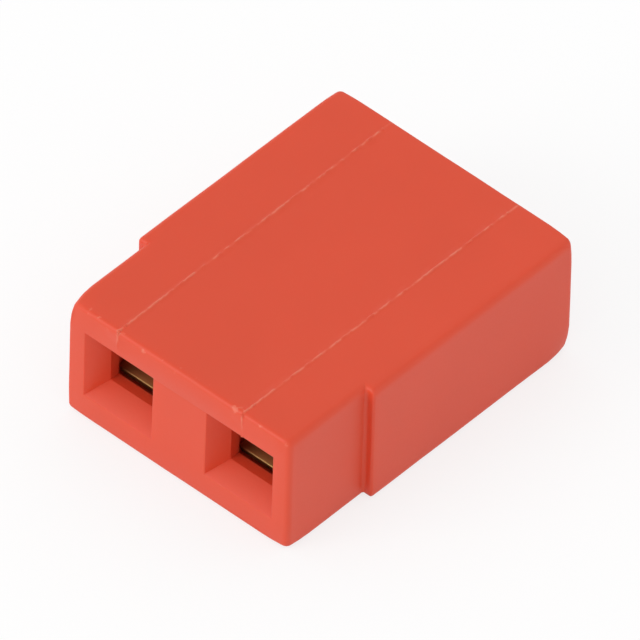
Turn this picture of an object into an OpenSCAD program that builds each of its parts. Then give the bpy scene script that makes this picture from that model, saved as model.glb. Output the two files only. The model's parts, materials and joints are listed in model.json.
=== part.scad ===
// Jumper shunt that joins two neighbouring square pins.
// A moulded housing lies on its broad face; a stamped and folded strip inside it carries the current.
// X runs across the two pins, Y from the entry face to the rear, Z up. The origin is under the middle.

/* [Pins] */
// Distance between the centres of the two pins
pitch = 2.54; // [2.4:0.02:2.9]
// Side of one square pin
pin_size = 0.64; // [0.5:0.02:0.7]

/* [Housing] */
// Length from the entry face to the rear face
housing_length = 6.42; // [5.8:0.02:8.4]
// Gap left between neighbouring shunts on one row of pins
neighbour_gap = 0.09; // [0.04:0.01:0.2]
// Height over the two broad faces
housing_height = 2.36; // [2.2:0.02:2.8]
// Thickness under the contact
floor_wall = 0.53; // [0.3:0.01:0.6]
// Thickness beside the contact in the rear part
side_wall = 0.3; // [0.22:0.01:0.34]
// Length of the narrower nose
nose_length = 1.76; // [1:0.02:2.6]
// Set-in of the nose on each side
nose_step = 0.17; // [0.14:0.01:0.24]
// Radius of the outer edges
edge_radius = 0.11; // [0.04:0.01:0.14]
// Set-back of the web between the sockets, at the sockets' upper edge
web_relief = 0.035; // [0.01:0.005:0.06]

/* [Sockets] */
// Play beside a pin in its throat, on each side
side_play = 0.17; // [0.08:0.01:0.2]
// Play over and under a pin in its throat
height_play = 0.13; // [0.06:0.01:0.16]
// Set-in of the funnel on each of its sides
funnel_inset = 0.225; // [0.1:0.005:0.28]
// Depth of the funnel
funnel_depth = 0.38; // [0.2:0.01:0.5]
// Length of the straight throat behind the funnel
throat_length = 0.19; // [0.1:0.01:0.3]
// Chamfer around the rear opening
rear_chamfer = 0.1; // [0.04:0.01:0.15]
// Distance from the rear face to the rib between the two pins
rib_setback = 0.5; // [0.2:0.05:0.8]

/* [Contact] */
// Thickness of the sheet
sheet = 0.2; // [0.14:0.01:0.22]
// Inner radius of the folds
fold_radius = 0.1; // [0.06:0.01:0.14]
// Room between a pin and the flats of the folded strip, over and under it
strip_play = 0.13; // [0.09:0.01:0.16]
// Length of the strip that crosses from one pin to the other
bridge_length = 2.1; // [1.6:0.02:2.5]
// Distance from the rear edge of the strip to the rear face of the housing
bridge_setback = 1.32; // [0.8:0.02:1.6]
// Width of each spring leaf
leaf_width = 1.1; // [0.8:0.02:1.16]
// Distance by which a pin pushes each leaf outwards
grip_travel = 0.095; // [0.04:0.005:0.14]
// Distance from the tip of a leaf back to its grip
grip_setback = 0.46; // [0.4:0.01:0.6]
// Turn of the leaf's flared tip beyond level, in degrees
flare_angle = 22; // [15:1:30]
// Radius of the leaf where it leaves the strip
root_radius = 1.2; // [0.8:0.1:2]
// Radius of the leaf at its grip
grip_radius = 0.4; // [0.3:0.02:0.6]
// Width of the retaining lance
lance_width = 0.5; // [0.3:0.02:0.6]
// Length of the retaining lance
lance_length = 0.9; // [0.7:0.02:1.1]
// Height that the lance's end stands above the strip
lance_rise = 0.14; // [0.08:0.01:0.18]

/* [Fits] */
// Clearance between the contact and the housing
clearance = 0.03; // [0.02:0.005:0.05]
// Clearance beside a leaf in its chamber
leaf_clearance = 0.05; // [0.03:0.01:0.07]
// Clearance in front of the leaf tips
tip_clearance = 0.05; // [0.03:0.01:0.1]

/* [Hidden] */
$fn = 64;

// Amount by which a cut passes the face that it opens
past = 0.2;
// Length by which a leaf or the lance reaches into the strip that it grows from
root_lap = 0.2;
// Slit around the lance
lance_slit = 0.06;
// Radius of the bend at the lance's root
lance_radius = 0.4;
// Turn of one facet of a bend, in degrees
bend_facet = 8;

rear_width = 2 * pitch - neighbour_gap;
nose_width = rear_width - 2 * nose_step;
front = -housing_length / 2;
back = housing_length / 2;
step_y = front + nose_length;
// The step's inner corner is filled as far as its outer edge starts to round
step_fillet = nose_step - edge_radius;

throat_width = pin_size + 2 * side_play;
throat_height = pin_size + 2 * height_play;

// Contact, seen from the front: the strip folds up and over at both ends
strip_gap = pin_size + 2 * strip_play;
cage_height = strip_gap + 2 * sheet;
cage_half_width = rear_width / 2 - side_wall - clearance;
fold_outer = fold_radius + sheet;
fold_x = cage_half_width - fold_outer;
socket_z = floor_wall + cage_height / 2;
leaf_inner_x = (pitch - leaf_width) / 2;

// Contact, seen from the side: leaves run from the strip towards the entry face
bridge_back = back - bridge_setback;
bridge_front = bridge_back - bridge_length;
lip_back = front + funnel_depth + throat_length;
tip_y = lip_back + tip_clearance;
grip_y = tip_y + grip_setback;
leaf_reach = bridge_front - grip_y;
leaf_drop = strip_play + grip_travel;
bend_sum = root_radius + grip_radius;
// The straight stretch is the line that touches both bends of the leaf from opposite sides
leaf_slope = asin(bend_sum / norm([leaf_reach, bend_sum - leaf_drop]))
    - atan2(bend_sum - leaf_drop, leaf_reach);
leaf_straight = sqrt(leaf_reach ^ 2 + (bend_sum - leaf_drop) ^ 2 - bend_sum ^ 2);
tip_straight = (grip_setback - (grip_radius + sheet / 2) * sin(flare_angle)) / cos(flare_angle);

// Housing cavities: the contact stands on their floor, with a clearance above and beside it
chamber_top = floor_wall + cage_height + clearance;
chamber_inner_x = leaf_inner_x - leaf_clearance;
chamber_width = leaf_width + 2 * leaf_clearance;
chamber_outer_x = cage_half_width + clearance;
slot_top = floor_wall + sheet + clearance;
lance_front = bridge_front + (bridge_length - lance_length) / 2;
lance_back = lance_front + lance_length;

// Upright rectangle with round corners, centred
module rounded_rectangle(size, radius) {
    square([size.x - 2 * radius, size.y], center = true);
    square([size.x, size.y - 2 * radius], center = true);
    for (x = [-1, 1], y = [-1, 1])
        translate([x * (size.x / 2 - radius), y * (size.y / 2 - radius)])
            circle(r = radius);
}

// Block with all twelve edges round, standing on Z = 0 and reaching from start to end along Y
module rounded_block(width, start, end) {
    length = end - start;
    translate([0, (start + end) / 2, housing_height / 2])
        intersection() {
            linear_extrude(housing_height + past, center = true)
                rounded_rectangle([width, length], edge_radius);
            rotate([90, 0, 0])
                linear_extrude(length + past, center = true)
                    rounded_rectangle([width, housing_height], edge_radius);
            rotate([90, 0, 90])
                linear_extrude(width + past, center = true)
                    rounded_rectangle([length, housing_height], edge_radius);
        }
}

// Square tunnel along +Y that narrows from one size to another, centred on Y
module funnel(mouth, throat, depth) {
    intersection() {
        linear_extrude(max(mouth.y, throat.y), center = true)
            polygon([[-mouth.x / 2, 0], [mouth.x / 2, 0], [throat.x / 2, depth], [-throat.x / 2, depth]]);
        rotate([90, 0, 90])
            linear_extrude(max(mouth.x, throat.x), center = true)
                polygon([[0, -mouth.y / 2], [depth, -throat.y / 2], [depth, throat.y / 2], [0, mouth.y / 2]]);
    }
}

// Box from its ranges along X, Y and Z
module span_box(x, y, z) {
    translate([x[0], y[0], z[0]])
        cube([x[1] - x[0], y[1] - y[0], z[1] - z[0]]);
}

module both_sides() {
    children();
    mirror([1, 0, 0]) children();
}

module socket() {
    throat = [throat_width, throat_height];
    mouth = throat + 2 * funnel_inset * [1, 1];
    translate([pitch / 2, front, socket_z]) {
        funnel(mouth, throat, funnel_depth);
        translate([-throat.x / 2, 0, -throat.y / 2])
            cube([throat.x, funnel_depth + throat_length + past, throat.y]);
    }
}

// Room for one half of the contact: the leaves in front and the folded side behind them
module chamber() {
    height = [floor_wall, chamber_top];
    span_box([chamber_inner_x, chamber_inner_x + chamber_width], [lip_back, back + past], height);
    span_box([chamber_inner_x, chamber_outer_x], [bridge_front - clearance, back + past], height);
}

// Slot under the rib for the strip, and the pocket that the lance springs into
module bridge_slot() {
    pocket_half = lance_width / 2 + clearance;
    span_box([-pitch / 2, pitch / 2], [bridge_front - clearance, back + past], [floor_wall, slot_top]);
    span_box([-pocket_half, pocket_half], [lance_front, lance_back + clearance],
             [floor_wall, slot_top + lance_rise]);
}

// Rear opening, in which the rib ends short of the face
module rear_opening() {
    opening = [2 * chamber_outer_x, chamber_top - floor_wall];
    span_box([-pitch / 2, pitch / 2], [back - rib_setback, back + past], [floor_wall, chamber_top]);
    translate([0, back, (floor_wall + chamber_top) / 2])
        mirror([0, 1, 0])
            funnel(opening + 2 * rear_chamfer * [1, 1], opening, rear_chamfer);
}

// Shallow wedge cut from the face between the two sockets
module web_recess() {
    mouth_half_height = throat_height / 2 + funnel_inset;
    web_width = pitch - throat_width - 2 * funnel_inset;
    translate([0, front, socket_z])
        rotate([90, 0, 90])
            linear_extrude(web_width + 2 * web_relief, center = true)
                polygon([[-past, -mouth_half_height], [0, -mouth_half_height],
                         [web_relief, mouth_half_height], [-past, mouth_half_height]]);
}

// Fillet that fills the inner corner of the step
module step_corner() {
    translate([nose_width / 2, step_y, edge_radius])
        linear_extrude(housing_height - 2 * edge_radius)
            difference() {
                translate([-edge_radius, -step_fillet])
                    square([edge_radius + step_fillet, step_fillet + edge_radius]);
                translate([step_fillet, -step_fillet]) circle(r = step_fillet);
            }
}

module housing() {
    color([0.87, 0.31, 0.22])
        difference() {
            union() {
                rounded_block(nose_width, front, step_y + 2 * edge_radius + past);
                rounded_block(rear_width, step_y, back);
                both_sides() step_corner();
            }
            both_sides() {
                socket();
                chamber();
            }
            bridge_slot();
            rear_opening();
            web_recess();
        }
}

// A bent sheet is drawn along its middle, as a list of steps: [length] goes straight on,
// and [radius, angle] turns left, or right for a negative angle. A place is [x, y, heading].
function straight_end(at, length) =
    [at.x + length * cos(at.z), at.y + length * sin(at.z), at.z];

function bend_place(at, radius, angle, share) =
    let (side = sign(angle), heading = at.z + angle * share)
    [at.x + side * radius * (sin(heading) - sin(at.z)),
     at.y - side * radius * (cos(heading) - cos(at.z)),
     heading];

function places(steps, at = [0, 0, 0], i = 0) =
    i == len(steps) ? [at]
    : len(steps[i]) == 1 ? concat([at], places(steps, straight_end(at, steps[i][0]), i + 1))
    : let (radius = steps[i][0], angle = steps[i][1], facets = ceil(abs(angle) / bend_facet))
      concat([for (k = [0:facets - 1]) bend_place(at, radius, angle, k / facets)],
             places(steps, bend_place(at, radius, angle, 1), i + 1));

function beside(place, distance) =
    [place.x - distance * sin(place.z), place.y + distance * cos(place.z)];

module bent_sheet(steps, width) {
    path = places(steps);
    linear_extrude(width)
        polygon(concat([for (place = path) beside(place, -sheet / 2)],
                       [for (i = [len(path) - 1:-1:0]) beside(path[i], sheet / 2)]));
}

// One half of the strip: floor, side and top, folded from one sheet
module folded_half() {
    fold = [fold_radius + sheet / 2, 90];
    translate([0, bridge_back, floor_wall + sheet / 2])
        rotate([90, 0, 0])
            bent_sheet([[fold_x], fold, [cage_height - 2 * fold_outer], fold, [fold_x - leaf_inner_x]],
                       bridge_length);
}

// Spring leaf of the strip's top: it slopes to the grip and flares at its tip
module upper_leaf() {
    translate([leaf_inner_x + leaf_width, bridge_front + root_lap, socket_z + (strip_gap + sheet) / 2])
        rotate([90, 0, -90])
            bent_sheet([[root_lap], [root_radius, -leaf_slope], [leaf_straight],
                        [grip_radius, leaf_slope + flare_angle], [tip_straight]],
                       leaf_width);
}

module leaf_pair() {
    upper_leaf();
    translate([0, 0, socket_z]) mirror([0, 0, 1]) translate([0, 0, -socket_z]) upper_leaf();
}

// Window in the strip that frees the lance on three sides
module lance_window() {
    half = lance_width / 2 + lance_slit;
    span_box([-half, half], [lance_front, lance_back], [floor_wall - past, floor_wall + sheet + past]);
}

// Tongue that rises towards the rear and keeps the contact from sliding back out
module lance() {
    slope = asin(lance_rise / lance_length);
    rise_length = (lance_length - lance_slit - (lance_radius + sheet / 2) * sin(slope)) / cos(slope);
    translate([-lance_width / 2, lance_front - root_lap, floor_wall + sheet / 2])
        rotate([90, 0, 90])
            bent_sheet([[root_lap], [lance_radius, slope], [rise_length]], lance_width);
}

module contact() {
    color([0.83, 0.66, 0.3])
        union() {
            difference() {
                both_sides() folded_half();
                lance_window();
            }
            lance();
            both_sides() leaf_pair();
        }
}

housing();
contact();
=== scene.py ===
import json
import math

import bmesh
import bpy
from mathutils import Matrix, Vector


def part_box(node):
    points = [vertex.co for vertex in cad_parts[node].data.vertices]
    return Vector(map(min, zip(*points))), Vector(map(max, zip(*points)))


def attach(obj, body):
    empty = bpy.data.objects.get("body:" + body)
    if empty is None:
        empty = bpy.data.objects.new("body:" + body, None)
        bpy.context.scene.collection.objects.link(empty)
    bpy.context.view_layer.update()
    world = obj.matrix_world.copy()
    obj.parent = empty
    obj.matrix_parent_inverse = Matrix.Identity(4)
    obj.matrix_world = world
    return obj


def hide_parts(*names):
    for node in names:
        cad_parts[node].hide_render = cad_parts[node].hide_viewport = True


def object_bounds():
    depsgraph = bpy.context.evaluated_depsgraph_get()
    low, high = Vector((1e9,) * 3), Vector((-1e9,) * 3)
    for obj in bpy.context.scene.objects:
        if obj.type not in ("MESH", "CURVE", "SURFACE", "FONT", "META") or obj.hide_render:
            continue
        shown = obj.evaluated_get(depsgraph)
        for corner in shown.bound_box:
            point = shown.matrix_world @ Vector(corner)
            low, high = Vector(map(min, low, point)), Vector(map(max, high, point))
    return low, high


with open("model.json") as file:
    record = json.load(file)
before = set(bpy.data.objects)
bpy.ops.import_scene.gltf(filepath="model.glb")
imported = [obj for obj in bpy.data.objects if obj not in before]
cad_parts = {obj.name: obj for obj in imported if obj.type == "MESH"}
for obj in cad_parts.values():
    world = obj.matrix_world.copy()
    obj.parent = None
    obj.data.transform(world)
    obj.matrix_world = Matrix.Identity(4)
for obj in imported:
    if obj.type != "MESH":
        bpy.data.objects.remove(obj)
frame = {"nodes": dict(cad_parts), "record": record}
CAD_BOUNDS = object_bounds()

# Jumper shunt: the fine form and the finish of its moulded housing and its folded contact.
# Pieces are drawn in millimetres, which suits Blender's mesh tools, and brought to metres at the end.

bl_info = {
    "name": "Jumper shunt",
    "version": (1, 0, 0),
    "blender": (4, 5, 0),
    "location": "View3D > Sidebar > Shunt",
    "description": "Models and finishes a two-way jumper shunt around its packed frame",
    "category": "Add Mesh",
}

MM = 0.001
WAVE_REST = 0.75  # Height of the wave pattern that stays on the face, so that most of it lies lower
NEAR = 0.01  # Distance in millimetres within which two places count as one
PAST = 0.2  # Length in millimetres by which a cutter passes the face that it opens


def length(name, description, millimetres):
    return bpy.props.FloatProperty(name=name, description=description, default=millimetres * MM,
                                   min=0, precision=6, unit="LENGTH")


def share(name, description, default):
    return bpy.props.FloatProperty(name=name, description=description, default=default,
                                   min=0, max=1, subtype="FACTOR")


def colour(name, description, default):
    return bpy.props.FloatVectorProperty(name=name, description=description, default=default,
                                         size=3, min=0, max=1, subtype="COLOR")


def angle(name, description, degrees):
    return bpy.props.FloatProperty(name=name, description=description,
                                   default=math.radians(degrees), subtype="ANGLE")


class HousingSizes(bpy.types.PropertyGroup):
    nose_length: length("Nose length", "Length of the narrower nose", 1.76)
    nose_step: length("Nose step", "Set-in of the nose on each side", 0.17)
    corner: length("Upright corners", "Radius of the upright edges at the rear and at the right of the nose", 0.1)
    left_corner: length("Left front corner", "Radius of the upright edge at the left of the nose", 0.05)
    step_corner: length("Step corners", "Radius of the upright edges of the step", 0.05)
    rim_front: length("Front rim", "Radius of the upper edge over the mouths", 0.078)
    rim_rear: length("Rear rim", "Radius of the upper edge at the rear", 0.045)
    rim_left: length("Left rim", "Radius of the upper edge at the left", 0.084)
    rim_right: length("Right rim", "Radius of the upper edge at the right", 0.11)
    rim_under: length("Lower rim", "Radius of the edges round the underside", 0.09)
    softening: length("Softening", "Distance from a corner within which its pull fades", 0.5)
    step_fillet: length("Step fillet", "Radius in the inner corner of the step", 0.06)
    mouth_width: length("Mouth width", "Width of a socket at the entry face", 1.43)
    mouth_height: length("Mouth height", "Height of a socket at the entry face", 1.35)
    throat_width: length("Throat width", "Width of a socket behind its funnel", 0.98)
    throat_height: length("Throat height", "Height of a socket behind its funnel", 0.9)
    funnel_depth: length("Funnel depth", "Depth over which the mouth narrows to the throat", 0.38)
    mouth_edge: length("Mouth edge", "Rounding of the mouths' edges", 0.018)
    web_relief: length("Web relief", "Set-back of the web between the mouths, at its top", 0.035)
    rear_chamfer: length("Rear chamfer", "Chamfer round the rear opening", 0.1)
    rib_setback: length("Rib set-back", "Distance from the rear face to the rib", 0.5)
    waviness: length("Waviness", "Height of the slow waves that moulding leaves on the faces", 0.008)
    wave_length: length("Wave length", "Distance from one slow wave to the next", 1.1)
    grid: length("Grid", "Spacing of the mesh lines across the broad faces", 0.2)


class WeldSizes(bpy.types.PropertyGroup):
    line_width: length("Width", "Width of a weld line", 0.06)
    line_height: length("Height", "Height of a weld line over the face", 0.01)
    unevenness: length("Unevenness", "Change in height along a weld line", 0.012)
    drift: length("Drift", "Sideways drift of the left weld line from front to rear", 0.056)
    left_place: length("Left line", "Distance of the left weld line from the middle", 1.325)
    right_place: length("Right line", "Distance of the right weld line from the middle", 1.326)


class ContactSizes(bpy.types.PropertyGroup):
    bridge_length: length("Bridge length", "Length of the strip from one pin to the other", 2.1)
    leaf_width: length("Leaf width", "Width of each spring leaf", 1.1)
    sheet: length("Sheet", "Thickness of the sheet", 0.2)
    lance_width: length("Lance width", "Width of the retaining lance", 0.5)
    lance_length: length("Lance length", "Length of the retaining lance", 0.9)
    lance_rise: length("Lance rise", "Height of the lance's end over the strip", 0.14)
    clearance: length("Clearance", "Room round the contact in the housing", 0.03)
    leaf_clearance: length("Leaf clearance", "Room beside each leaf", 0.05)
    sheared_edge: length("Sheared edge", "Rounding of the stamped edges", 0.018)


class Finish(bpy.types.PropertyGroup):
    plastic: colour("Plastic", "Colour of the moulded housing", (0.786, 0.077, 0.029))
    # Painted highlight: a paler colour laid along the weld lines and in spots along the front rim, where they
    # catch the light.
    painted_highlight: colour("Painted highlight", "Colour of the plastic along its weld lines", (0.83, 0.24, 0.15))
    # Metal: the plating colour is darkened and reddened, painted shade and red light for the dim insides of the
    # sockets.
    metal: colour("Metal", "Colour of the flash-plated contact", (0.33, 0.19, 0.07))


class Studio(bpy.types.PropertyGroup):
    azimuth: angle("Azimuth", "Turn of the camera round the shunt, from the entry face", 41.182)
    elevation: angle("Elevation", "Height of the camera over the floor", 44.632)
    roll: angle("Roll", "Turn of the camera about its own axis", 1.68)
    distance: length("Distance", "Distance of the camera", 439.768)
    aim: bpy.props.FloatVectorProperty(name="Aim", description="Point that the camera looks at",
                                       default=(0.452 * MM, -0.445 * MM, 1.830 * MM),
                                       precision=6, subtype="XYZ_LENGTH", unit="LENGTH")
    lens: bpy.props.FloatProperty(name="Lens", description="Focal length of the camera, in millimetres",
                                  default=1588, min=1)
    room_level: bpy.props.FloatProperty(name="Room level", description="Light from the whole room",
                                        default=0.87, min=0)
    key_level: bpy.props.FloatProperty(name="Key level", description="Light from the softbox, head on",
                                       default=0.27, min=0)
    shadow: share("Shadow", "Strength of the shadow that shows on the floor", 0.25)


# Mesh tools


def select_only(piece):
    if bpy.context.mode != "OBJECT":
        bpy.ops.object.mode_set(mode="OBJECT")
    bpy.ops.object.select_all(action="DESELECT")
    piece.select_set(True)
    bpy.context.view_layer.objects.active = piece


def edit(piece):
    select_only(piece)
    bpy.ops.object.mode_set(mode="EDIT")


def place(element):
    """Middle of a face, an edge or a vertex."""
    corners = getattr(element, "verts", [element])
    return sum((corner.co for corner in corners), Vector()) / len(corners)


def choose(piece, kind, test):
    """Selects the verts, edges or faces of the edited piece that pass the test."""
    bpy.ops.mesh.select_all(action="DESELECT")
    bpy.context.tool_settings.mesh_select_mode = [kind == each for each in ("verts", "edges", "faces")]
    mesh = bmesh.from_edit_mesh(piece.data)
    chosen = [element for element in getattr(mesh, kind) if test(element)]
    if not chosen:
        raise RuntimeError(f"{piece.name}: no {kind} are where they should be")
    for element in chosen:
        element.select_set(True)
    mesh.select_flush_mode()
    bmesh.update_edit_mesh(piece.data)


def cut_across(piece, test, point, normal):
    """Cuts the faces that pass the test along a plane."""
    choose(piece, "faces", test)
    bpy.ops.mesh.bisect(plane_co=point, plane_no=normal)


def extrude(offset):
    bpy.ops.mesh.extrude_region_move(TRANSFORM_OT_translate={"value": offset})


def new_box(name, low, high):
    """A box between two corners, with its place in its mesh."""
    low, high = Vector(low), Vector(high)
    select_nothing()
    bpy.ops.mesh.primitive_cube_add(size=1, location=(low + high) / 2, scale=high - low)
    bpy.ops.object.transform_apply(location=True, rotation=True, scale=True)
    bpy.context.object.name = name
    return bpy.context.object


def select_nothing():
    if bpy.context.mode != "OBJECT":
        bpy.ops.object.mode_set(mode="OBJECT")
    bpy.ops.object.select_all(action="DESELECT")


def apply_modifier(piece, kind, **settings):
    """Adds a modifier, with its settings, and applies it."""
    select_only(piece)
    modifier = piece.modifiers.new(kind.lower(), kind)
    for name, value in settings.items():
        setattr(modifier, name, value)
    bpy.ops.object.modifier_apply(modifier=modifier.name)


def carve(piece, cutter):
    apply_modifier(piece, "BOOLEAN", operation="DIFFERENCE", solver="EXACT", object=cutter)
    bpy.data.objects.remove(cutter)


def to_metres(piece):
    select_only(piece)
    piece.scale = (MM, MM, MM)
    bpy.ops.object.transform_apply(location=True, rotation=True, scale=True)


def smooth(piece, degrees):
    select_only(piece)
    bpy.ops.object.shade_smooth_by_angle(angle=math.radians(degrees))
    apply_modifier(piece, "WEIGHTED_NORMAL", keep_sharp=True)


# Housing


class Plan:
    """Places that the housing's shape is drawn from, in millimetres."""

    def __init__(self, scene):
        for group in (scene.housing_sizes, scene.weld_sizes, scene.contact_sizes):
            for name in group.bl_rna.properties.keys():
                if name not in ("rna_type", "name"):
                    setattr(self, name, getattr(group, name) / MM)
        low, high = (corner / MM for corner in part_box("housing"))
        self.front, self.back, self.top = low.y, high.y, high.z
        self.half_width = high.x
        self.nose_half = self.half_width - self.nose_step
        self.step = self.front + self.nose_length
        mounts = {mount["name"]: mount for mount in frame["record"]["mounts"]}
        pin = Vector(mounts["pin_entry_right"]["pos_m"]) / MM
        self.pin_x, self.pin_z = pin.x, pin.z
        low, high = (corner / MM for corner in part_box("contact"))
        self.floor, self.ceiling = low.z, high.z + self.clearance
        self.chamber_front = low.y - self.leaf_clearance
        self.chamber_side = high.x + self.clearance
        self.leaf_left = self.pin_x - self.leaf_width / 2 - self.leaf_clearance
        self.leaf_right = self.pin_x + self.leaf_width / 2 + self.leaf_clearance
        self.bridge_front = high.y - self.bridge_length - self.clearance
        self.bridge_middle = high.y - self.bridge_length / 2


def draw_outline(plan):
    """One flat face: the rear block, with the nose drawn out of the middle of its front edge.

    It is left in edit mode."""
    select_nothing()
    bpy.ops.mesh.primitive_plane_add(size=1)
    body = bpy.context.object
    edit(body)
    bpy.ops.transform.resize(value=(2 * plan.half_width, plan.back - plan.step, 1))
    bpy.ops.transform.translate(value=(0, (plan.back + plan.step) / 2, 0))
    for side in (-1, 1):
        cut_across(body, lambda face: True, (side * plan.nose_half, 0, 0), (1, 0, 0))
    choose(body, "edges", lambda edge: place(edge).y < plan.step + NEAR and abs(place(edge).x) < NEAR)
    extrude((0, -plan.nose_length, 0))
    bpy.ops.mesh.select_all(action="SELECT")
    bpy.ops.mesh.dissolve_limited(angle_limit=math.radians(1))
    return body


def edge_radius(edge, plan):
    """Radius of an outer edge: each side of the mould leaves its own."""
    middle = place(edge)
    if abs(edge.verts[0].co.z - edge.verts[1].co.z) > NEAR:
        if abs(middle.y - plan.step) < NEAR:
            inside = abs(middle.x) < plan.nose_half + NEAR
            return plan.step_fillet if inside else plan.step_corner
        at_left_front = middle.x < 0 and middle.y < plan.step
        return plan.left_corner if at_left_front else plan.corner
    if middle.z < NEAR:
        return plan.rim_under
    facing = next(face.normal for face in edge.link_faces if abs(face.normal.z) < 0.5)
    if abs(facing.x) > 0.5:
        return plan.rim_right if facing.x > 0 else plan.rim_left
    return plan.rim_rear if facing.y > 0 else plan.rim_front


def raise_block(body, plan):
    """Extrudes the outline to the housing's height and rounds every outer edge."""
    bpy.ops.mesh.select_all(action="SELECT")
    extrude((0, 0, plan.top))
    bpy.ops.mesh.select_all(action="SELECT")
    bpy.ops.mesh.normals_make_consistent(inside=False)
    mesh = bmesh.from_edit_mesh(body.data)
    weight = mesh.edges.layers.float.new("bevel_weight_edge")
    widest = max(plan.rim_right, plan.rim_under, plan.corner)
    for edge in mesh.edges:
        edge[weight] = edge_radius(edge, plan) / widest
    bmesh.update_edit_mesh(body.data)
    apply_modifier(body, "BEVEL", limit_method="WEIGHT", width=widest, segments=6, use_clamp_overlap=False)
    edit(body)


def add_grid(body, plan):
    """Mesh lines across every face but the entry face, for the slow waves."""
    def not_entry(face):
        return face.normal.y > -0.999

    for axis, low, high in ((0, -plan.half_width, plan.half_width), (1, plan.front, plan.back),
                            (2, 0, plan.top)):
        normal = Vector((axis == 0, axis == 1, axis == 2))
        low, high = low + plan.rim_right, high - plan.rim_right
        count = math.ceil((high - low) / plan.grid)
        lines = [low + (high - low) * line / count for line in range(count + 1)]
        for share_of_cell in (0.3, 0.6):
            lines += [low + share_of_cell * plan.grid, high - share_of_cell * plan.grid]
        for at in lines:
            cut_across(body, not_entry, normal * at, normal)


def cut_web(body, plan):
    """Shallow wedge in the entry face between the mouths, deepest at their upper edge."""
    web_half = plan.pin_x - plan.mouth_width / 2
    low = plan.pin_z - plan.mouth_height / 2
    high = plan.pin_z + plan.mouth_height / 2
    wedge = new_box("wedge", (-web_half, plan.front - PAST, low), (web_half, plan.front, high))
    edit(wedge)
    choose(wedge, "edges", lambda edge: place(edge).y > plan.front - NEAR and place(edge).z > high - NEAR)
    bpy.ops.transform.translate(value=(0, plan.web_relief, 0))
    carve(body, wedge)


def open_mouths(body, plan):
    """Draws each funnel and throat inwards from the entry face."""
    half = Vector((plan.mouth_width / 2, 0, plan.mouth_height / 2))

    def entry(face):
        return face.normal.y < -0.99

    edit(body)
    for side in (-1, 1):
        for across in (-1, 1):
            cut_across(body, entry, (side * plan.pin_x + across * half.x, 0, 0), (1, 0, 0))
    for up in (-1, 1):
        cut_across(body, entry, (0, 0, plan.pin_z + up * half.z), (0, 0, 1))
    for side in (-1, 1):
        centre = Vector((side * plan.pin_x, plan.front, plan.pin_z))

        def in_mouth(face):
            offset = place(face) - centre
            return (abs(offset.x) < half.x + NEAR and abs(offset.z) < half.z
                    and offset.y < plan.web_relief + NEAR)

        choose(body, "faces", in_mouth)
        extrude((0, plan.funnel_depth, 0))
        narrowing = (plan.throat_width / plan.mouth_width, 0, plan.throat_height / plan.mouth_height)
        bpy.ops.transform.resize(value=narrowing, center_override=centre + Vector((0, plan.funnel_depth, 0)))
        extrude((0, plan.chamber_front - plan.front - plan.funnel_depth + plan.clearance, 0))


def round_mouths(body, plan):
    """Rounds the edges of the mouths a little."""
    def on_mouth(edge):
        faces = edge.link_faces
        return (len(faces) == 2 and place(edge).y < plan.front + plan.web_relief + NEAR
                and min(face.normal.y for face in faces) < -0.98
                and max(face.normal.y for face in faces) > -0.9
                and abs(place(edge).z - plan.pin_z) < plan.mouth_height / 2 + NEAR
                and abs(place(edge).x) < plan.pin_x + plan.mouth_width / 2 + NEAR)

    edit(body)
    choose(body, "edges", on_mouth)
    bpy.ops.mesh.bevel(offset=plan.mouth_edge, segments=2, affect="EDGES")


def carve_inside(body, plan):
    """Chambers of the leaves, room for the folded strip, its slot and the rear opening."""
    end = plan.back + PAST
    slot_top = plan.floor + plan.sheet + plan.clearance
    for side in (-1, 1):
        leaf, outer = (sorted((side * plan.leaf_left, side * edge))
                       for edge in (plan.leaf_right, plan.chamber_side))
        carve(body, new_box("leaf_chamber", (leaf[0], plan.chamber_front, plan.floor),
                            (leaf[1], end, plan.ceiling)))
        carve(body, new_box("fold_chamber", (outer[0], plan.bridge_front, plan.floor),
                            (outer[1], end, plan.ceiling)))
    carve(body, new_box("slot", (-plan.pin_x, plan.bridge_front, plan.floor), (plan.pin_x, end, slot_top)))
    carve(body, new_box("rear_relief", (-plan.pin_x, plan.back - plan.rib_setback, plan.floor),
                        (plan.pin_x, end, plan.ceiling)))
    pocket = plan.lance_width / 2 + plan.clearance
    reach = plan.lance_length / 2
    carve(body, new_box("lance_pocket", (-pocket, plan.bridge_middle - reach, plan.floor),
                        (pocket, plan.bridge_middle + reach + plan.clearance, slot_top + plan.lance_rise)))


def chamfer_rear(body, plan):
    """Chamfer round the rear opening: a block that widens towards the rear face."""
    depth = plan.rear_chamfer
    block = new_box("chamfer", (-plan.chamber_side, plan.back - depth, plan.floor),
                    (plan.chamber_side, plan.back, plan.ceiling))
    edit(block)
    choose(block, "faces", lambda face: face.normal.y > 0.9)
    size = Vector((2 * plan.chamber_side, 0, plan.ceiling - plan.floor))
    widening = ((size.x + 2 * depth) / size.x, 1, (size.z + 2 * depth) / size.z)
    bpy.ops.transform.resize(value=widening)
    extrude((0, PAST, 0))
    carve(body, block)


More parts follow.
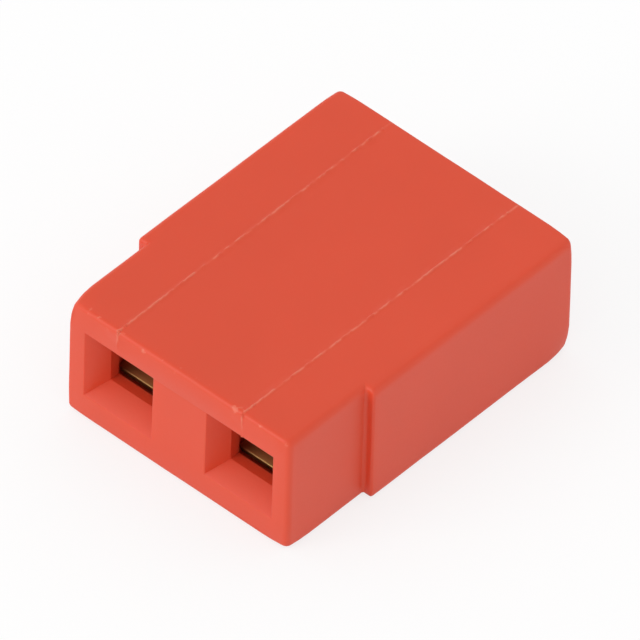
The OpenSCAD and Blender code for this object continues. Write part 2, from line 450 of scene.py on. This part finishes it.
def weld_line(body, plan, middle, drift, seed):
    """Raises an uneven ridge along the top and down the bar over a mouth, where two flows met."""
    mouth_top = plan.pin_z + plan.mouth_height / 2
    across = Vector((1, -drift / (plan.back - plan.front), 0)).normalized()

    def off_line(point):
        return (point - Vector((middle, 0, 0))).dot(across)

    def outside(face):
        return (place(face).z > mouth_top + NEAR and place(face).y < plan.back - plan.rim_right
                and (face.normal.z > 0.2 or face.normal.y < -0.5))

    for shift in (-0.5, 0, 0.5):
        point = Vector((middle, 0, 0)) + across * shift * plan.line_width
        cut_across(body, outside, point, across)
    half = plan.line_width / 2 + NEAR / 2
    choose(body, "edges", lambda edge: all(abs(off_line(end.co)) < half and end.co.z > mouth_top
                                           for end in edge.verts)
           and abs(off_line(edge.verts[0].co) - off_line(edge.verts[1].co)) < NEAR / 2)
    bpy.ops.mesh.subdivide(number_cuts=3)
    choose(body, "verts", lambda vertex: abs(off_line(vertex.co)) < NEAR / 2
           and vertex.co.z > mouth_top + NEAR and vertex.co.y < plan.back - 2 * plan.rim_right)
    bpy.ops.transform.shrink_fatten(value=plan.line_height)
    bpy.ops.transform.vertex_random(offset=plan.unevenness, uniform=0.3, normal=0.7, seed=seed)


# Pull on each corner in millimetres, by its side along X, Y and Z
CORNER_PULLS = {(-1, -1, 1): 0.05, (1, -1, 1): 0.015, (-1, 1, 1): 0.015, (1, 1, 1): 0.02,
                (-1, -1, -1): 0.01, (1, -1, -1): 0.02, (1, 1, -1): 0.045, (-1, 1, -1): 0.02}


def soften_corners(body, plan):
    """Pulls each corner of the block in, and what lies round it with it."""
    edit(body)
    for side, pull in CORNER_PULLS.items():
        corner = Vector((side[0] * (plan.nose_half if side[1] < 0 else plan.half_width),
                         plan.front if side[1] < 0 else plan.back, plan.top if side[2] > 0 else 0))
        verts = bmesh.from_edit_mesh(body.data).verts
        nearest = min((vertex.co - corner).length for vertex in verts)
        choose(body, "verts", lambda vertex: (vertex.co - corner).length < nearest + NEAR / 2)
        bpy.ops.transform.translate(value=[-pull * way for way in side], use_proportional_edit=True,
                                    proportional_edit_falloff="SHARP", proportional_size=plan.softening)


def add_waves(body, plan):
    """Slow waves over all faces, too low to see but for the way the light runs over them."""
    clouds = bpy.data.textures.new("waves", "CLOUDS")
    clouds.noise_scale = plan.wave_length
    apply_modifier(body, "DISPLACE", texture=clouds, texture_coords="LOCAL", strength=plan.waviness,
                   mid_level=WAVE_REST)


class SHUNT_OT_housing(bpy.types.Operator):
    """Model the moulded housing"""
    bl_idname = "shunt.housing"
    bl_label = "Housing"

    def execute(self, context):
        plan = Plan(context.scene)
        body = draw_outline(plan)
        raise_block(body, plan)
        add_grid(body, plan)
        cut_web(body, plan)
        open_mouths(body, plan)
        round_mouths(body, plan)
        weld_line(body, plan, -plan.left_place, -plan.drift, seed=3)
        weld_line(body, plan, plan.right_place, 0, seed=8)
        carve_inside(body, plan)
        chamfer_rear(body, plan)
        soften_corners(body, plan)
        add_waves(body, plan)
        to_metres(body)
        body.name = "moulded_housing"
        smooth(body, 24)
        body.data.materials.clear()
        body.data.materials.append(plastic_finish(context.scene.finish, plan))
        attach(body, "root")
        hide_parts("housing")
        return {"FINISHED"}


class SHUNT_OT_contact(bpy.types.Operator):
    """Finish the folded contact strip with rounded stamped edges"""
    bl_idname = "shunt.contact"
    bl_label = "Contact"

    def execute(self, context):
        sizes = context.scene.contact_sizes
        select_only(frame["nodes"]["contact"])
        bpy.ops.object.duplicate()
        strip = context.object
        strip.name = "folded_contact"
        for key in list(strip.keys()):
            if key.startswith("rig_"):
                del strip[key]
        strip.parent = None
        edit(strip)
        bpy.ops.mesh.select_all(action="SELECT")
        bpy.ops.mesh.remove_doubles(threshold=0.001 * MM)
        bpy.ops.mesh.dissolve_limited(angle_limit=math.radians(0.5))
        apply_modifier(strip, "BEVEL", width=sizes.sheared_edge, segments=2, limit_method="ANGLE",
                       angle_limit=math.radians(40))
        smooth(strip, 35)
        strip.data.materials.clear()
        strip.data.materials.append(metal_finish(context.scene.finish))
        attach(strip, "root")
        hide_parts("contact")
        return {"FINISHED"}


# Materials


class Wire:
    """A node's output. Arithmetic on it adds Math nodes."""

    def __init__(self, nodes, socket):
        self.nodes, self.socket = nodes, socket

    def math(self, operation, *terms):
        return self.nodes.add("ShaderNodeMath", {"operation": operation}, dict(enumerate(terms)))

    def __add__(self, other):
        return self.math("ADD", self, other)

    __radd__ = __add__

    def __sub__(self, other):
        return self.math("SUBTRACT", self, other)

    def __rsub__(self, other):
        return self.math("SUBTRACT", other, self)

    def __mul__(self, other):
        return self.math("MULTIPLY", self, other)

    __rmul__ = __mul__

    def __abs__(self):
        return self.math("ABSOLUTE", self)


class Nodes:
    """The node tree of a material or of the world."""

    def __init__(self, tree):
        self.tree = tree
        tree.nodes.clear()

    def add(self, kind, settings, inputs, output=0):
        """Adds a node: first its settings, then the values or wires of its sockets."""
        node = self.tree.nodes.new(kind)
        for name, value in settings.items():
            setattr(node, name, value)
        for key, value in inputs.items():
            if isinstance(value, Wire):
                self.tree.links.new(value.socket, node.inputs[key])
            else:
                node.inputs[key].default_value = value
        return Wire(self, node.outputs[output])

    def finish(self, kind, surface):
        """Adds the output node that ends the tree."""
        self.tree.links.new(surface.socket, self.tree.nodes.new(kind).inputs["Surface"])

    def blend(self, factor, first, second):
        """Colour between two colours."""
        return self.add("ShaderNodeMix", {"data_type": "RGBA"}, {0: factor, 6: first, 7: second}, output=2)

    def ramp(self, value, low, high):
        """Smooth step from 0 at low to 1 at high."""
        return self.add("ShaderNodeMapRange", {"interpolation_type": "SMOOTHSTEP"},
                        {"Value": value, "From Min": low, "From Max": high})

    def noise(self, point, scale, detail=2.0):
        return self.add("ShaderNodeTexNoise", {}, {"Vector": point, "Scale": scale, "Detail": detail})


def new_material(name):
    material = bpy.data.materials.new(name)
    material.use_nodes = True
    return material, Nodes(material.node_tree)


def millimetre_point(nodes):
    """Object coordinates, in millimetres."""
    point = nodes.add("ShaderNodeTexCoord", {}, {}, output="Object")
    return nodes.add("ShaderNodeMapping", {}, {"Vector": point, "Scale": (1 / MM, 1 / MM, 1 / MM)})


def opaque(rgb):
    return (*rgb, 1)


def weld_highlight_mask(nodes, point, plan):
    """1 along the weld lines, broken up: a painted highlight where the raised lines catch the light."""
    x, y, z = (nodes.add("ShaderNodeSeparateXYZ", {}, {"Vector": point}, output=axis) for axis in "XYZ")
    tilt = plan.drift / (plan.back - plan.front)
    left = abs(x + plan.left_place + y * tilt)
    right = abs(x - plan.right_place)
    near = 1 - nodes.ramp(left.math("MINIMUM", left, right), 0.0, plan.line_width * 0.55)
    broken = nodes.ramp(nodes.noise(point, 5.0, 4.0), 0.42, 0.62)
    return near * (0.12 + 0.5 * broken) * nodes.ramp(z, plan.pin_z + plan.mouth_height / 2, plan.top)


def rim_glint_mask(nodes, point, plan):
    """1 at random spots along the front rim: painted glints where the rim catches the light."""
    y, z = (nodes.add("ShaderNodeSeparateXYZ", {}, {"Vector": point}, output=axis) for axis in "YZ")
    along_rim = (1 - nodes.ramp(y, plan.front + 0.06, plan.front + 0.16)) * nodes.ramp(
        z, plan.top - 0.14, plan.top - 0.06)
    return along_rim * nodes.ramp(nodes.noise(point, 7.0, 3.0), 0.6, 0.68)


def plastic_finish(finish, plan):
    material, nodes = new_material("matte_red_plastic")
    point = millimetre_point(nodes)
    cloud = nodes.noise(point, 0.7)
    grain = nodes.noise(point, 22.0, 4.0)
    deeper = opaque([0.93 * part for part in finish.plastic])
    base = nodes.blend(cloud, opaque(finish.plastic), deeper)
    # Painted highlight: the weld lines and the rim spots are blended towards the paler colour.
    painted_light_share = nodes.add("ShaderNodeMath", {"operation": "MAXIMUM"},
                     {0: weld_highlight_mask(nodes, point, plan), 1: 0.5 * rim_glint_mask(nodes, point, plan)})
    base = nodes.blend(painted_light_share, base, opaque(finish.painted_highlight))
    bump = nodes.add("ShaderNodeBump", {}, {"Strength": 0.3, "Distance": 0.004 * MM, "Height": grain})
    surface = nodes.add("ShaderNodeBsdfPrincipled", {}, {
        "Base Color": base, "Roughness": 0.4 + 0.1 * grain, "Normal": bump,
        "IOR": 1.5, "Specular IOR Level": 0.45,
        "Subsurface Weight": 0.2, "Subsurface Radius": (1.0, 0.2, 0.1), "Subsurface Scale": 0.3 * MM})
    nodes.finish("ShaderNodeOutputMaterial", surface)
    return material


def metal_finish(finish):
    material, nodes = new_material("flash_plated_metal")
    point = millimetre_point(nodes)
    rolled = nodes.add("ShaderNodeMapping", {}, {"Vector": point, "Scale": (2.0, 30.0, 30.0)})
    grain = nodes.noise(rolled, 1.0, 3.0)
    # The metal colour holds painted shade; the noise only varies its tone.
    base = nodes.blend(nodes.noise(point, 2.0), opaque(finish.metal),
                       opaque([0.9 * part for part in finish.metal]))
    bump = nodes.add("ShaderNodeBump", {}, {"Strength": 0.3, "Distance": 0.002 * MM, "Height": grain})
    surface = nodes.add("ShaderNodeBsdfPrincipled", {}, {
        "Base Color": base, "Roughness": 0.34 + 0.12 * grain, "Metallic": 1.0, "Normal": bump})
    nodes.finish("ShaderNodeOutputMaterial", surface)
    return material


# Studio


def shown_rays(nodes):
    """1 for rays from the camera, and for those that metal and glass show."""
    outputs = ("Is Camera Ray", "Is Glossy Ray", "Is Transmission Ray")
    camera, glossy, through = (nodes.add("ShaderNodeLightPath", {}, {}, output=name) for name in outputs)
    return camera.math("MAXIMUM", camera, camera.math("MAXIMUM", glossy, through))


def add_floor(studio):
    """Pale floor that shows as white and keeps a soft shadow."""
    material, nodes = new_material("pale_floor")
    shown = shown_rays(nodes)
    paint = nodes.blend(shown, (0.8, 0.8, 0.8, 1), (1, 1, 1, 1))
    diffuse = nodes.add("ShaderNodeBsdfDiffuse", {}, {"Color": paint})
    white = nodes.add("ShaderNodeEmission", {}, {"Color": (1, 1, 1, 1), "Strength": 1.0})
    surface = nodes.add("ShaderNodeMixShader", {}, {0: shown * (1 - studio.shadow), 1: diffuse, 2: white})
    nodes.finish("ShaderNodeOutputMaterial", surface)
    select_nothing()
    bpy.ops.mesh.primitive_plane_add(size=4, location=(0, 0, CAD_BOUNDS[0].z - 0.002 * MM))
    floor = bpy.context.object
    floor.name = "floor"
    floor.data.materials.append(material)


def light_room(studio):
    world = bpy.data.worlds.new("room")
    world.use_nodes = True
    nodes = Nodes(world.node_tree)
    shown = shown_rays(nodes)
    light = nodes.add("ShaderNodeBackground", {}, {"Color": (1, 1, 1, 1), "Strength": studio.room_level})
    direction = nodes.add("ShaderNodeTexCoord", {}, {}, output="Generated")
    height = nodes.add("ShaderNodeSeparateXYZ", {}, {"Vector": direction}, output="Z")
    ceiling = nodes.ramp(height, 0.2, 0.8)
    white = nodes.add("ShaderNodeBackground", {}, {"Color": (1, 1, 1, 1), "Strength": 1 - 0.8 * ceiling})
    surface = nodes.add("ShaderNodeMixShader", {}, {0: shown, 1: light, 2: white})
    nodes.finish("ShaderNodeOutputWorld", surface)
    bpy.context.scene.world = world


def add_softbox(name, direction, distance, size, level):
    """Square lamp that lights a surface facing it to this level, where 1 is full white."""
    direction = Vector(direction).normalized()
    bpy.ops.object.light_add(type="AREA", location=direction * distance)
    lamp = bpy.context.object
    lamp.name = name
    lamp.rotation_euler = direction.to_track_quat("Z", "Y").to_euler()
    lamp.data.size = size
    lamp.data.energy = level * math.pi ** 2 * distance ** 2


def add_camera(studio):
    azimuth, elevation, roll = studio.azimuth, studio.elevation, studio.roll
    right = Vector((math.cos(azimuth), math.sin(azimuth), 0))
    back = Vector((math.sin(azimuth) * math.cos(elevation), -math.cos(azimuth) * math.cos(elevation),
                   math.sin(elevation)))
    level = Matrix((right, back.cross(right), back)).transposed().to_4x4()
    bpy.ops.object.camera_add()
    camera = bpy.context.object
    camera.matrix_world = (Matrix.Translation(Vector(studio.aim) + back * studio.distance)
                           @ level @ Matrix.Rotation(roll, 4, "Z"))
    camera.data.lens = studio.lens
    camera.data.sensor_width = 36
    camera.data.clip_start = 0.01
    camera.data.clip_end = 10
    bpy.context.scene.camera = camera


class SHUNT_OT_studio(bpy.types.Operator):
    """Set up the floor, the light and the camera"""
    bl_idname = "shunt.studio"
    bl_label = "Studio"

    def execute(self, context):
        studio = context.scene.studio
        select_nothing()
        add_camera(studio)
        light_room(studio)
        add_softbox("key", (-0.35, -0.8, 0.42), 0.3, 0.16, studio.key_level)
        add_floor(studio)
        context.scene.view_settings.view_transform = "Standard"
        return {"FINISHED"}


class SHUNT_PT_panel(bpy.types.Panel):
    """Sizes, finishes and steps of the jumper shunt"""
    bl_idname = "SHUNT_PT_panel"
    bl_label = "Jumper shunt"
    bl_space_type = "VIEW_3D"
    bl_region_type = "UI"
    bl_category = "Shunt"

    def draw(self, context):
        for name in GROUPS:
            group = getattr(context.scene, name)
            for size in type(group).__annotations__:
                self.layout.prop(group, size)
        for operator in OPERATORS:
            self.layout.operator(operator.bl_idname)


GROUPS = {"housing_sizes": HousingSizes, "weld_sizes": WeldSizes, "contact_sizes": ContactSizes,
          "finish": Finish, "studio": Studio}
OPERATORS = (SHUNT_OT_studio, SHUNT_OT_housing, SHUNT_OT_contact)


def register():
    for group in GROUPS.values():
        bpy.utils.register_class(group)
    for name, group in GROUPS.items():
        setattr(bpy.types.Scene, name, bpy.props.PointerProperty(type=group))
    for operator in OPERATORS:
        bpy.utils.register_class(operator)
    bpy.utils.register_class(SHUNT_PT_panel)


def unregister():
    bpy.utils.unregister_class(SHUNT_PT_panel)
    for operator in reversed(OPERATORS):
        bpy.utils.unregister_class(operator)
    for name in GROUPS:
        delattr(bpy.types.Scene, name)
    for group in GROUPS.values():
        bpy.utils.unregister_class(group)


def main():
    register()
    bpy.ops.shunt.studio()
    bpy.ops.shunt.housing()
    bpy.ops.shunt.contact()


if __name__ == "__main__":
    main()
